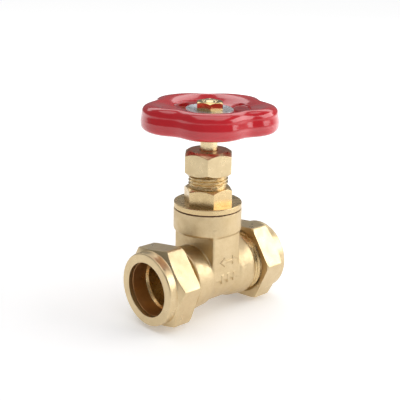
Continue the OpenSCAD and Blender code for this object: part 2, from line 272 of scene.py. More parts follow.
SETTLE_ROUNDS = 4       # times that each point of a net moves towards the surface
PROBE, SHADE_PROBE = 0.02, 0.05     # how far off a field is read for its slope, to place and to shade points
FLATTEST = 0.2          # least squared slope by which a point's move is divided


def net(field, low, high, step):
    """Quads round the inside of a field, with each point moved onto the surface where it is zero."""
    axes = [np.arange(a, b + step, step) for a, b in zip(low, high)]
    values = field(*np.meshgrid(*axes, indexing="ij"))
    inside = values < 0
    cells = tuple(n - 1 for n in values.shape)
    total = np.zeros(cells + (3,), np.float32)
    count = np.zeros(cells, np.int8)
    for axis in range(3):
        others = [k for k in range(3) if k != axis]
        for u, v in ((0, 0), (0, 1), (1, 0), (1, 1)):
            shift = [0, 0, 0]
            shift[others[0]], shift[others[1]] = u, v
            far = list(shift)
            far[axis] = 1
            near_cut = tuple(slice(s, s + n) for s, n in zip(shift, cells))
            far_cut = tuple(slice(s, s + n) for s, n in zip(far, cells))
            cross = inside[near_cut] != inside[far_cut]
            a, b = values[near_cut][cross], values[far_cut][cross]
            spot = np.tile(np.array(shift, np.float32), (len(a), 1))
            spot[:, axis] = a / (a - b)
            total[cross] += spot
            count[cross] += 1
    used = count > 0
    number = np.full(cells, -1, np.int64)
    number[used] = np.arange(int(used.sum()))
    where = np.argwhere(used)
    points = (where + total[used] / count[used][:, None]) * step + np.array([a[0] for a in axes])
    quads = []
    for axis in range(3):
        u, v = [k for k in range(3) if k != axis]
        inner = [slice(1, n) for n in cells]
        inner[axis] = slice(0, cells[axis])
        near_cut = tuple(inner)
        inner[axis] = slice(1, cells[axis] + 1)
        far_cut = tuple(inner)
        a, b = inside[near_cut], inside[far_cut]
        spots = np.argwhere(a != b)
        spots += np.array([0 if k == axis else 1 for k in range(3)])
        starts = (a & ~b)[a != b]
        ring = []
        for du, dv in ((0, 0), (1, 0), (1, 1), (0, 1)):
            cell = spots.copy()
            cell[:, u] -= du
            cell[:, v] -= dv
            ring.append(number[cell[:, 0], cell[:, 1], cell[:, 2]])
        ring = np.stack(ring, -1)
        flip = starts if axis == 1 else ~starts
        ring[flip] = ring[flip][:, ::-1]
        quads.append(ring)
    for _ in range(SETTLE_ROUNDS):
        value, slope = field_slope(field, points, PROBE)
        push = value / np.maximum((slope ** 2).sum(1), FLATTEST)
        points -= slope * np.clip(push, -step / 2, step / 2)[:, None]
    return points, np.concatenate(quads).tolist()


def field_slope(field, points, probe):
    """Value and gradient of a field at points, the gradient from values a probe's length to each side."""
    value = field(*points.T)
    slope = np.empty_like(points)
    for axis in range(3):
        ahead, behind = points.copy(), points.copy()
        ahead[:, axis] += probe
        behind[:, axis] -= probe
        slope[:, axis] = (field(*ahead.T) - field(*behind.T)) / (2 * probe)
    return value, slope


def outline_distance(x, y, corners):
    """Signed distance from points to a closed outline, negative inside."""
    nearest = np.full(np.shape(x), 1e9)
    inside = np.zeros(np.shape(x), bool)
    for (ax, ay), (bx, by) in zip(corners, corners[1:] + corners[:1]):
        ex, ey = bx - ax, by - ay
        t = np.clip(((x - ax) * ex + (y - ay) * ey) / (ex * ex + ey * ey), 0, 1)
        nearest = np.minimum(nearest, np.hypot(x - ax - t * ex, y - ay - t * ey))
        if ay != by:
            crosses = ((ay > y) != (by > y)) & (x < ax + (y - ay) * ex / ey)
            inside ^= crosses
    return np.where(inside, -nearest, nearest)


def from_field(name, field, low, high, step):
    """Object made from a field about the stem's axis, with its shading taken from the field itself."""
    points, quads = net(field, low, high, step)
    mesh = bpy.data.meshes.new(name)
    placed = points + np.array([STEM_X, 0, 0])
    mesh.from_pydata((placed * MM).tolist(), [], quads)
    mesh.shade_smooth()
    _, slope = field_slope(field, points, SHADE_PROBE)
    slope /= np.maximum(np.linalg.norm(slope, axis=1), 1e-6)[:, None]
    mesh.normals_split_custom_set_from_vertices(slope.tolist())
    return add_object(name, mesh)


# ---------------------------------------------------------------------------------------------------
# body
# ---------------------------------------------------------------------------------------------------

# Along the pipe and across it, sizes are distances from the stem's axis; heights are from the pipe's axis.
PARTING_Z = span("bonnet_gasket", 2)[0]
COLLAR_R = (span("bonnet", 1)[1] - span("bonnet", 1)[0]) / 2
COLLAR_FROM, COLLAR_CONE, CONE_SLANT = 23.6, 1.1, 0.7071
THREAD_END = reach("body", 1)[1]
SOCKET_R = frame["record"]["mounts"][0]["dims"]["r_mm"]
SOCKET_ROOM = 0.5
STOP_AT = 17.5
PORT_R = 11.2
RUN_R, RUN_END = 15.0, 20.4
RUN_SWELLS = ((1.35, 6.0, 11.5), (0.65, 11.0, 18.5))        # how much the run grows, from where to where
NECK_X, NECK_Y, NECK_CORNER, NECK_IN_COLLAR = 19.0, 30.4, 1.2, 4
MARK_H = 0.6
CHAMBER_HALF, CHAMBER_R, CHAMBER_TO = 7.3, 13.2, 27
SHAFT_R, SHAFT_TO = 14.2, 40
THROAT_R, THROAT_FROM = 16.1, 27.6
SEAT_AT, SEAT_BACK, SEAT_R, SEAT_TILT = 6.0, 8.5, 13.0, math.radians(3)
CRISP, SOFT, ROUND, FILLET = 0.3, 0.5, 0.8, 1.1             # widths over which corners are rounded
GRID, ROUGH_GRID = 0.34, 0.5


def neck_mark_distance(x, z):
    """Distance to the raised marks on the neck: an arrow with two heads over three short bars."""
    middle, arrow_z, bar_z = 1.3, 9.6, 0.2
    half, head, wing, shaft = 5.9, 3.2, 2.6, 0.75
    bar_half_width, bar_half_height, bar_gap = 0.75, 2.4, 4.2
    neck = half - head
    right = [(neck, shaft), (neck, wing), (half, 0), (neck, -wing), (neck, -shaft)]
    arrow = [(middle + way * out, arrow_z + way * up) for way in (1, -1) for out, up in right]
    nearest = outline_distance(x, z, arrow)
    past_top = np.abs(z - bar_z) - bar_half_height
    for offset in (-bar_gap, 0.0, bar_gap):
        past_side = np.abs(x - middle - offset) - bar_half_width
        nearest = np.minimum(nearest, corner_distance(past_side, past_top))
    return nearest


def casting_skin(x, y, z):
    """Outside of the body casting: run, neck and collar flowing into each other, and the raised marks."""
    along, pipe_r, stem_r = np.abs(x), np.hypot(y, z), np.hypot(x, y)
    run_r = sum((growth * smooth_step(start, stop, along) for growth, start, stop in RUN_SWELLS), RUN_R)
    run = soft_max(pipe_r - run_r, along - RUN_END, width=1.0)
    side_x, side_y = along - NECK_X / 2 + NECK_CORNER, np.abs(y) - NECK_Y / 2 + NECK_CORNER
    neck = corner_distance(side_x, side_y) - NECK_CORNER
    neck = np.maximum(neck, np.maximum(-z, z - COLLAR_FROM - NECK_IN_COLLAR))
    collar = soft_max(stem_r - COLLAR_R, z - PARTING_Z, CRISP)
    cone = (stem_r - COLLAR_R + COLLAR_CONE - (z - COLLAR_FROM)) * CONE_SLANT
    collar = soft_max(soft_max(collar, cone, SOFT), COLLAR_FROM - z, SOFT)
    skin = soft_min(soft_min(run, neck, FILLET), collar, FILLET)
    mark = soft_max(neck_mark_distance(x, z), np.abs(y + NECK_Y / 2) - MARK_H, width=0.4)
    return soft_min(skin, mark, width=0.35)


def casting_hollow(x, y, z):
    """Inside of the body casting: port, sockets, the wedge's chamber and shaft, the throat and two seats."""
    along, pipe_r, stem_r = np.abs(x), np.hypot(y, z), np.hypot(x, y)
    port = pipe_r - PORT_R
    socket = soft_max(pipe_r - SOCKET_R - SOCKET_ROOM, STOP_AT - along, CRISP)
    chamber = soft_max(along - CHAMBER_HALF, pipe_r - CHAMBER_R, ROUND)
    chamber = soft_max(chamber, np.abs(z) - CHAMBER_TO, ROUND)
    shaft = soft_max(soft_max(stem_r - SHAFT_R, -z, SOFT), z - SHAFT_TO, SOFT)
    shaft = soft_max(shaft, along - CHAMBER_HALF, ROUND)
    throat = soft_max(stem_r - THROAT_R, THROAT_FROM - z, SOFT)
    upper = soft_min(chamber, soft_min(shaft, throat, SOFT), SOFT)
    hollow = soft_min(soft_min(port, socket, CRISP), upper, CRISP)
    seat_face = along - SEAT_AT - z * math.tan(SEAT_TILT)
    seat = np.maximum(np.maximum(pipe_r - SEAT_R, PORT_R - pipe_r), np.maximum(-seat_face, along - SEAT_BACK))
    return soft_max(hollow, -seat, CRISP)


def casting_field(x, y, z):
    """Body casting as a distance field, negative in the metal."""
    return soft_max(casting_skin(x, y, z), -casting_hollow(x, y, z), width=0.45)


def make_casting():
    """Body casting between its two turned ends, up to the parting with the bonnet."""
    low, high = (-21.2, -18.6, -17.8), (21.2, 18.6, PARTING_Z + 0.6)
    return from_field("body_casting", casting_field, low, high, GRID)


def make_threaded_end(side):
    """Turned end of the body: thread, relief and the mouth that the olive is pressed into."""
    start, relief_to, thread_from = STOP_AT - 0.3, 22.2, 23.3
    crest_r, root_r, lip_r = 16.45, 15.3, 15.6
    depth, chamfer, lip_width, mouth_depth = 1.15, 0.9, 0.15, 2.4
    fade_from, fade_to, skin_r = 22.0, 23.6, 15.45
    profile = rounded([
        (SOCKET_R, start, 0), (root_r, start, 0), (root_r, relief_to, 0.4), (crest_r, thread_from, 0.3),
        (crest_r, THREAD_END - chamfer, 0.4), (lip_r + lip_width, THREAD_END, 0.15),
        (lip_r, THREAD_END, 0.15), (SOCKET_R, THREAD_END - mouth_depth, 0.25),
    ], step=0.19)

    def cut(r, h, turn):
        fade = smooth_step(fade_from, fade_to, h) * (r > skin_r) * (h < THREAD_END - 0.05)
        return r - fade * np.minimum(depth * thread_depth(h, turn, PIPE_PITCH), np.maximum(r - root_r, 0))

    points, faces = revolve(profile, on_pipe(side), around=216, warp=cut)
    return new_object("body_thread_" + ("outlet" if side > 0 else "inlet"), points, faces, sharp=60)


# ---------------------------------------------------------------------------------------------------
# ends
# ---------------------------------------------------------------------------------------------------

def make_compression_nut(node, side, corner_at):
    """Hexagon with turned-off corners, a round nose, an inner thread and the seat for the olive."""
    near, far = reach(node, side)
    flats, nose_r, thread_r, bore = 39.4, 19.0, 16.75, SOCKET_R + 0.05
    corner_r = corner_radius(flats)
    past_r = corner_r + 0.4
    hex_to, hex_end, seat_from, seat_to = 34.5, 36.4, 36.5, 39.2
    chamfer, depth = 0.9, 0.95
    thread_to = seat_from - 1.2
    profile = rounded([
        (thread_r + chamfer, near, 0.12), (corner_r - 1.0, near, 0.15), (past_r, near + chamfer, 0),
        (past_r, hex_to, 0), (nose_r + 0.12, hex_end, 0.35), (nose_r, hex_end + 0.5, 0.3),
        (nose_r, far, 0.9), (bore, far, 0.3), (bore, seat_to, 0.2), (thread_r, seat_from, 0.2),
        (thread_r, thread_to, 0.2), (thread_r, near + chamfer, 0.1),
    ], step=0.26)

    def shape(r, h, turn):
        hexed = soft_min(r, hexagon_radius(flats, corner_at, turn), width=0.22)
        fade = window(near + 0.7, near + 1.6, thread_to - 1.0, thread_to, h)
        in_bore = (r > thread_r - 0.02) * (r < thread_r + 0.3)
        threaded = r - depth * fade * (1 - thread_depth(h, turn, PIPE_PITCH)) * in_bore
        return np.where(r > thread_r + 1.2, hexed, threaded)

    points, faces = revolve(profile, on_pipe(side), around=360, warp=shape)
    return new_object(node + "_turned", points, faces, sharp=32)


def make_olive(node, side):
    """Barrel-shaped ring of soft copper."""
    near, far = reach(node, side)
    near, far = near + 1.8, far - 0.4
    edge_r, thick_r, taper = 14.5, 16.05, 2.4
    profile = rounded([
        (SOCKET_R, near, 0.12), (edge_r, near, 0.12), (thick_r, near + taper, 1.2),
        (thick_r, far - taper, 1.2), (edge_r, far, 0.12), (SOCKET_R, far, 0.12),
    ], step=0.3)
    points, faces = revolve(profile, on_pipe(side), around=180)
    return new_object(node + "_ring", points, faces, sharp=50)


# ---------------------------------------------------------------------------------------------------
# bonnet, gland and stem
# ---------------------------------------------------------------------------------------------------

BONNET_HEX_TOP = 46.9
FLANGE_TOP = 39.1


def make_bonnet():
    """Turned flange, hexagon and threaded gland over the skirt that screws into the body."""
    foot, top = span("bonnet", 2)
    flange_z = span("bonnet_gasket", 2)[1]
    flats, corner_at = 22.6, math.radians(240)
    rim_r, past_r = COLLAR_R - 0.05, corner_radius(flats) + 0.3
    skirt_r, mouth_r, boss_room_r, hole_r, packing_r = 15.75, 14.1, 7.4, 4.6, 7.3
    boss_room_from, boss_room_to, packing_from = 37.2, 43.8, 46.5
    gland_r, depth = 10.35, 0.85
    relief_r, relief_to, gland_from = gland_r - 0.9, BONNET_HEX_TOP + 0.7, BONNET_HEX_TOP + 1.4
    profile = rounded([
        (mouth_r, foot, 0.2), (skirt_r - 0.35, foot, 0.2), (skirt_r, foot + 0.6, 0.2),
        (skirt_r, flange_z, 0.1), (rim_r, flange_z, 0.15), (rim_r, FLANGE_TOP, 0.45),
        (past_r + 0.6, FLANGE_TOP, 0), (past_r, FLANGE_TOP + 0.05, 0.12), (past_r, BONNET_HEX_TOP - 1.5, 0),
        (flats / 2 - 0.25, BONNET_HEX_TOP, 0.25), (relief_r, BONNET_HEX_TOP + 0.15, 0.3),
        (relief_r, relief_to, 0.2), (gland_r, gland_from, 0.2), (gland_r, top - 0.9, 0.2),
        (gland_r - 0.85, top, 0.2), (packing_r, top, 0.25), (packing_r, packing_from, 0.1),
        (hole_r, packing_from, 0.1), (hole_r, boss_room_to, 0.1), (boss_room_r, boss_room_to, 0.3),
        (boss_room_r, boss_room_from, 0.3), (mouth_r, boss_room_from, 1.0),
    ], step=0.19)

    def shape(r, h, turn):
        in_hexagon = (h > FLANGE_TOP + 0.02) & (h < BONNET_HEX_TOP + 0.05) & (r > gland_r - 0.5)
        hexed = soft_min(r, hexagon_radius(flats, corner_at, turn), width=0.2)
        on_gland = (h > BONNET_HEX_TOP + 0.6) & (r > gland_r - 0.88)
        fade = smooth_step(relief_to, BONNET_HEX_TOP + 1.6, h)
        groove = np.minimum(depth * thread_depth(h, turn, GLAND_PITCH), np.maximum(r - gland_r + depth, 0))
        return np.where(in_hexagon, hexed, np.where(on_gland, r - fade * groove, r))

    points, faces = revolve(profile, on_stem, around=270, warp=shape)
    return new_object("bonnet_turned", points, faces, sharp=32)


def make_packing_nut():
    """Hexagon nut with its corners turned off at both ends, bored for the stem."""
    low, high = span("packing_nut", 2)
    flats, corner_at = 23.7, math.radians(225)
    corner_r = corner_radius(flats)
    past_r = corner_r + 0.25
    thread_r, depth, ceiling, hole_r = 10.65, 0.7, 62.3, 4.75
    profile = rounded([
        (thread_r + 0.05, low, 0), (corner_r - 2.65, low, 0.1), (past_r, low + 2.2, 0),
        (past_r, high - 2.45, 0), (corner_r - 1.95, high - 0.75, 0), (corner_r - 3.2, high, 0.3),
        (hole_r + 0.5, high, 0.15), (hole_r, high - 0.45, 0.1), (hole_r, ceiling, 0.1),
        (thread_r, ceiling, 0.2), (thread_r, low + 0.6, 0.1),
    ], step=0.2)

    def shape(r, h, turn):
        hexed = soft_min(r, hexagon_radius(flats, corner_at, turn), width=0.2)
        fade = window(low + 0.4, low + 1.2, ceiling - 1.6, ceiling - 0.6, h)
        threaded = r - depth * fade * (1 - thread_depth(h, turn, GLAND_PITCH)) * (r > thread_r - 0.02)
        return np.where(r > thread_r + 0.65, hexed, threaded)

    points, faces = revolve(profile, on_stem, around=270, warp=shape)
    return new_object("packing_nut_turned", points, faces, sharp=32)


def make_stem():
    """Spindle: screw, thrust collar, polished shank, square, and the threaded stud with its domed end."""
    foot, top = span("stem", 2)
    screw_r, collar_r, shank_r, stud_r, half_square = 4.2, 6.95, 4.45, 3.95, 3.95
    collar_from, collar_to, square_from, square_to = 46.7, 48.9, 79.4, 86.4
    profile = cap_axis(rounded([
        (0.01, foot, 0), (screw_r - 0.9, foot, 0.2), (screw_r, foot + 0.9, 0.2), (screw_r, collar_from, 0.3),
        (collar_r, collar_from, 0.3), (collar_r, collar_to, 0.3), (shank_r, collar_to, 0.3),
        (shank_r, square_to - 0.1, 0.1), (stud_r, square_to + 0.1, 0.1), (stud_r, top - 1.3, 0.5),
        (stud_r - 1.1, top - 0.25, 0.8), (1.0, top - 0.02, 0.6), (0.01, top - 0.25, 0),
    ], step=0.22, closed=False))

    def shape(r, h, turn):
        screw = window(foot + 0.5, foot + 1.6, collar_from - 3.2, collar_from - 1.8, h)
        r = r - screw * 0.95 * thread_depth(h, turn, SCREW_LEAD, hand=-1) * (r > screw_r - 0.6)
        stud = window(square_to + 0.4, square_to + 1.2, top - 1.6, top - 1.1, h)
        r = r - stud * 0.55 * thread_depth(h, turn, STUD_PITCH) * (r > stud_r - 0.3)
        square = half_square / np.maximum(np.abs(np.cos(turn)), np.abs(np.sin(turn)))
        return np.where((h > square_from) & (h < square_to), np.minimum(r, square), r)

    points, faces = revolve(profile, on_stem, around=144, warp=shape, closed=False)
    return new_object("stem_turned", points, faces, sharp=40)


def make_wheel_nut():
    """Bright hexagon nut that holds the handwheel down."""
    low, high = span("wheel_nut", 2)
    flats, corner_at, bore = 13.0, math.radians(228), 3.98
    corner_r = corner_radius(flats)
    past_r = corner_r + 0.2
    profile = rounded([
        (bore + 0.4, low, 0.1), (corner_r - 0.7, low, 0.15), (past_r, low + 0.45, 0),
        (past_r, high - 0.95, 0), (corner_r - 1.25, high, 0.25), (bore + 0.5, high, 0.15),
        (bore, high - 0.5, 0.1), (bore, low + 0.4, 0.1),
    ], step=0.13)

    def shape(r, h, turn):
        hexed = soft_min(r, hexagon_radius(flats, corner_at, turn), width=0.14)
        return np.where(r > bore + 0.55, hexed, r)

    points, faces = revolve(profile, on_stem, around=240, warp=shape)
    return new_object("wheel_nut_turned", points, faces, sharp=32)


def make_hub_disc():
    """Silver washer under the wheel nut, bent up a little on its far side."""
    low, high = span("hub_disc", 2)
    outer = (span("hub_disc", 1)[1] - span("hub_disc", 1)[0]) / 2
    hole_r, flat_r, lift, lifted_at = 4.1, 7.6, 1.0, math.radians(78)
    profile = rounded([
        (hole_r, low, 0.1), (outer, low, 0.2), (outer, high, 0.25), (hole_r, high, 0.15),
    ], step=0.6)

    def bent(r, h, turn):
        out = np.clip((r - flat_r) / (outer - flat_r), 0, 1)
        return on_stem(r, h + lift * out * (0.5 + 0.5 * np.cos(turn - lifted_at)), turn)

    points, faces = revolve(profile, bent, around=180)
    return new_object("hub_disc_pressed", points, faces, sharp=50)


# ---------------------------------------------------------------------------------------------------
# handwheel
# ---------------------------------------------------------------------------------------------------

WHEEL_LOW, WHEEL_HIGH = span("handwheel", 2)
WEB_Z = span("hub_disc", 2)[0]
SHEET = 1.6
LOBES, LOBE_AT = 5, math.radians(13.6)
LOBE_SWELL, LOBE_FLAT = 2.15, 0.45                # swell of the rim's lobes, and what flattens their tops
LOBES_FROM_R, LOBES_FULL_R, LOBES_FULL_PAST = 22.5, 28.3, 4.2
INNER_R, OUTER_R = 11.5, 22.2                     # the ring of the web that holds the openings
OPENINGS, OPENING_AT = 3, math.radians(326)
OPENING_MID_R, OPENING_HALF_WIDTH, OPENING_HALF_ANGLE = 16.8, 3.95, math.radians(22)
SECTOR = TURN / OPENINGS
EDGE_IN, EDGE_DOWN = 0.94, 0.34                   # way in which the rim's rolled edge goes on past its line
KNOT_PARTS = 40
WEB_PARTS = 300                                   # parts of the line that lie on the web, before the rim


def smooth_line(knots):
    """Points along a smooth curve through knots, and the length of the curve up to each."""
    knots = np.array(knots, float)
    before = 2 * knots[0] - knots[1]
    after = 2 * knots[-1] - knots[-2]
    padded = np.vstack([before, knots, after])
    dense = []
    for a, b, c, d in zip(padded, padded[1:], padded[2:], padded[3:]):
        for k in range(KNOT_PARTS):
            t = k / KNOT_PARTS
            dense.append(0.5 * (2 * b + (c - a) * t + (2 * a - 5 * b + 4 * c - d) * t * t
                                + (3 * b - a - 3 * c + d) * t ** 3))
    dense.append(knots[-1])
    dense = np.array(dense)
    length = np.concatenate([[0], np.cumsum(np.linalg.norm(np.diff(dense, axis=0), axis=1))])
    return dense, length


class PressedWheel:
    """Middle surface of the wheel's sheet: distance from the hub's edge and bearing give a place."""

    def __init__(self):
        top = WHEEL_HIGH - SHEET / 2
        low = WHEEL_LOW + SHEET / 2
        web = WEB_Z - SHEET / 2
        self.line, self.length = smooth_line([
            (4.4, web), (8, web), (12.4, web), (14.5, web + 0.15), (17.5, web + 0.75), (20.5, web + 1.9),
            (23.5, web + 3.1), (26.2, top - 0.35), (28.3, top), (29.9, top - 0.25), (31.3, top - 1.0),
            (32.15, top - 2.3), (32.4, top - 4.1), (32.7, low + 6.0), (32.9, low + 4.5), (32.8, low + 2.4),
            (32.2, low + 1.1), (30.6, low + 0.3), (28.9, low + 0.05),
        ])
        self.end = self.length[-1]

    def along(self, radius):
        """Distance along the sheet, over the web, at which its mean radius is reached."""
        return float(np.interp(radius, self.line[:WEB_PARTS, 0], self.length[:WEB_PARTS]))

    def mid(self, s, turn):
        """Point of the middle surface about the stem's axis; past the line's end it goes straight on."""
        r = np.interp(s, self.length, self.line[:, 0])
        z = np.interp(s, self.length, self.line[:, 1])
        swell = smooth_step(self.along(LOBES_FROM_R), self.along(LOBES_FULL_R) + LOBES_FULL_PAST, s)
        over = np.maximum(s - self.end, 0)
        phase = LOBES * (turn - LOBE_AT)
        r = r + swell * (LOBE_SWELL * np.cos(phase) - LOBE_FLAT * np.cos(2 * phase)) - EDGE_IN * over
        z = z - EDGE_DOWN * over
        return np.stack([r * np.cos(turn), r * np.sin(turn), z], -1)

    def place(self, s, turn, lift):
        """Point lift above the middle surface."""
        step, swing = 0.05, 0.002
        ahead = self.mid(s + step, turn) - self.mid(s - step, turn)
        aside = self.mid(s, turn + swing) - self.mid(s, turn - swing)
        normal = np.cross(ahead, aside)
        normal /= np.linalg.norm(normal, axis=-1)[..., None]
        return self.mid(s, turn) + normal * np.asarray(lift)[..., None] + np.array([STEM_X, 0, 0])


def sheet_band(wheel, turns, distances, fold_reach, roll):
    """Band of the sheet carried all round, both sides of it, joined by a fold past its last distance."""
    half = SHEET / 2
    rows = [(s, half) for s in distances]
    rows += [(distances[-1] + fold_reach * math.sin(a), half * math.cos(a)) for a in roll]
    rows += [(s, -half) for s in distances[::-1]]
    s, lift = (np.array(column)[:, None] + 0 * turns for column in zip(*rows))
    grid = wheel.place(s, turns + 0 * s, lift)
    return grid, grid_quads(np.arange(s.size).reshape(s.shape))


def opening_rows(per_sector, tall, roll):
    """Rows of (sideways, outwards) points and their lift, from a sector's edge to its opening and back."""
    half, side_rows, layers, crowding = SHEET / 2, 12, 12, 0.8
    wide = SECTOR / 2 * OPENING_MID_R
    u = np.linspace(-wide, wide, per_sector + 1)
    v = np.linspace(-tall, tall, side_rows + 1)
    edge = [(x, tall) for x in u[:-1]] + [(wide, y) for y in v[::-1][:-1]]
    edge += [(x, -tall) for x in u[::-1][:-1]] + [(-wide, y) for y in v[:-1]]
    edge = np.array(edge)
    spine_end = OPENING_HALF_ANGLE * OPENING_MID_R
    spine = np.stack([np.clip(edge[:, 0], -spine_end, spine_end), 0 * edge[:, 0]], -1)
    way = edge - spine
    way /= np.linalg.norm(way, axis=1)[:, None]
    hole = spine + way * (OPENING_HALF_WIDTH + half)
    shares = [(k / layers) ** crowding for k in range(layers + 1)]
    rows = [(edge * (1 - t) + hole * t, half) for t in shares]
    rows += [(hole - way * half * math.sin(a), half * math.cos(a)) for a in roll]
    rows += [(edge * (1 - t) + hole * t, -half) for t in shares[::-1]]
    return rows


def make_handwheel():
    """Sheet pressed to a lobed rim, with three kidney-shaped holes in its web, all edges rolled round."""
    wheel = PressedWheel()
    per_sector = 120
    turns = OPENING_AT - SECTOR / 2 + np.arange(OPENINGS * per_sector) * SECTOR / per_sector
    roll = np.linspace(0, math.pi, 9)[1:-1]
    inner_s, outer_s = wheel.along(INNER_R), wheel.along(OUTER_R)
    rim = np.linspace(outer_s, wheel.end, 96)
    hub = np.linspace(inner_s, wheel.along(4.9), 14)
    parts = [sheet_band(wheel, turns, rim, SHEET / 2, roll), sheet_band(wheel, turns, hub, -0.4, roll)]
    rows = opening_rows(per_sector, (outer_s - inner_s) / 2, roll)
    flat = np.array([row[0] for row in rows])
    lift = np.array([row[1] for row in rows])[:, None] + 0 * flat[..., 0]
    for sector in range(OPENINGS):
        bearing = OPENING_AT + sector * SECTOR + flat[..., 0] / OPENING_MID_R
        grid = wheel.place((inner_s + outer_s) / 2 + flat[..., 1], bearing, lift)
        parts.append((grid, grid_quads(np.arange(lift.size).reshape(lift.shape))))
    points, faces, base = [], [], 0
    for grid, quads in parts:
        points.append(grid.reshape(-1, 3))
        faces += (quads + base).tolist()
        base += len(points[-1])
    return new_object("wheel_sheet", np.concatenate(points), faces, sharp=70)


def make_wheel_hub():
    """Boss under the web that sits on the stem's square."""
    low, top = WHEEL_LOW + 2.6, WEB_Z - SHEET + 0.3
    hole_r, boss_r, flare = 4.5, 6.6, 1.2
    profile = rounded([
        (hole_r, low, 0.2), (boss_r, low, 0.4), (boss_r, top - flare, 1.2), (boss_r + flare, top, 0.1),
        (hole_r, top, 0.1),
    ], step=0.4)
    points, faces = revolve(profile, on_stem, around=120)
    return new_object("wheel_hub", points, faces, sharp=50)


# ---------------------------------------------------------------------------------------------------
# materials
# ---------------------------------------------------------------------------------------------------

class Nodes:
    """Short way to build a material's node tree."""

    def __init__(self, name):
        self.material = bpy.data.materials.new(name)
        self.material.use_nodes = True
        self.tree = self.material.node_tree
        self.tree.nodes.clear()
        self.out = self.tree.nodes.new("ShaderNodeOutputMaterial")
        self.shader = self.tree.nodes.new("ShaderNodeBsdfPrincipled")
        self.tree.links.new(self.shader.outputs[0], self.out.inputs[0])
        self.place = self.tree.nodes.new("ShaderNodeTexCoord").outputs["Object"]

    def link(self, source, target):
        self.tree.links.new(source, target)

    def math(self, operation, a, b=0.0):
        """Result of a maths operation on two numbers or sockets."""
        node = self.tree.nodes.new("ShaderNodeMath")
        node.operation = operation
        for socket, value in zip(node.inputs, (a, b)):
            if isinstance(value, (int, float)):
                socket.default_value = value
            else:
                self.link(value, socket)
        return node.outputs[0]

    def length(self, a, b):
        """Square root of the sum of two squares."""
        squares = [self.math("MULTIPLY", side, side) for side in (a, b)]
        return self.math("SQRT", self.math("ADD", *squares))

    def noise(self, scale, detail=3.0, rough=0.5, where=None, dimensions="3D"):
        """Noise with scale features to the metre, about the object's own axes or along one distance."""
        node = self.tree.nodes.new("ShaderNodeTexNoise")
        node.noise_dimensions = dimensions
        node.inputs["Scale"].default_value = scale
        node.inputs["Detail"].default_value = detail
        node.inputs["Roughness"].default_value = rough
        if dimensions == "1D":
            self.link(where, node.inputs["W"])
        else:
            self.link(self.place, node.inputs["Vector"])
        return node.outputs["Fac"]

    def ramp(self, value, low, high, to_low=0.0, to_high=1.0):
        """Value brought from the range low to high into the range to_low to to_high."""
        node = self.tree.nodes.new("ShaderNodeMapRange")
        self.link(value, node.inputs["Value"])
        numbers = {"From Min": low, "From Max": high, "To Min": to_low, "To Max": to_high}
        for socket, number in numbers.items():
            node.inputs[socket].default_value = number
        return node.outputs["Result"]

    def mix(self, amount, first, second):
        """Colour between two colours."""
        node = self.tree.nodes.new("ShaderNodeMix")
        node.data_type = "RGBA"
        self.link(amount, node.inputs["Factor"])
        slots = [slot for slot in node.inputs if slot.type == "RGBA"]
        for slot, colour in zip(slots, (first, second)):
            slot.default_value = (*colour, 1)
        return [slot for slot in node.outputs if slot.type == "RGBA"][0]

    def bump(self, height, strength, distance, onto=None):
        """Normal bent by a height, on top of an earlier bump where one is given."""
        node = self.tree.nodes.new("ShaderNodeBump")
        node.inputs["Strength"].default_value = strength
        node.inputs["Distance"].default_value = distance
        self.link(height, node.inputs["Height"])
        if onto is not None:
            self.link(onto, node.inputs["Normal"])
        return node.outputs["Normal"]

    def split(self, vector):
        """A vector's x, y and z."""
        node = self.tree.nodes.new("ShaderNodeSeparateXYZ")
        self.link(vector, node.inputs[0])
        return node.outputs

    def turned(self, axis):
        """Distance along and out from the turning axis added up, so marks run round cylinders and faces."""
        x, y, z = self.split(self.place)
        if axis == "pipe":
            return self.math("ADD", x, self.length(y, z))
        return self.math("ADD", z, self.length(self.math("SUBTRACT", x, STEM_X * MM), y))


# Noise scales, in features to the metre, for what the brass shows.
CLOUDS, SPECKS, POLISH, GRAIN, DENTS, TURNING, WAVES = 130, 1500, 260, 2100, 330, 5200, 420
TARNISH, ROUGH_SPREAD = 0.25, 0.08


def brass(name, colour, shade, rough, grain=0.0, rings=0.0, axis="stem"):
    """Brass or copper: cloudy colour, uneven polish, and a blasted grain, fine turning marks or both."""
    nodes = Nodes(name)
    shader = nodes.shader
    shader.inputs["Metallic"].default_value = 1.0
    cloud = nodes.ramp(nodes.noise(CLOUDS, 4, 0.6), 0.35, 0.7, 0, TARNISH)
    speck = nodes.ramp(nodes.noise(SPECKS, 2, 0.6), 0.5, 0.8, 0, TARNISH)
    nodes.link(nodes.mix(nodes.math("ADD", cloud, speck), colour, shade), shader.inputs["Base Color"])
    polish = nodes.ramp(nodes.noise(POLISH, 3, 0.6), 0.3, 0.7, rough - ROUGH_SPREAD, rough + ROUGH_SPREAD)
    nodes.link(polish, shader.inputs["Roughness"])
    normal = None
    if grain:
        normal = nodes.bump(nodes.noise(GRAIN, 2, 0.55), grain, 0.00012)
        normal = nodes.bump(nodes.noise(DENTS, 3, 0.5), grain * 0.6, 0.0004, normal)
    if rings:
        marks = nodes.noise(TURNING, 1.5, 0.5, nodes.turned(axis), "1D")
        normal = nodes.bump(marks, rings, 0.00005, normal)
        normal = nodes.bump(nodes.noise(WAVES, 2, 0.5), rings * 0.5, 0.0001, normal)
    nodes.link(normal, shader.inputs["Normal"])
    return nodes.material


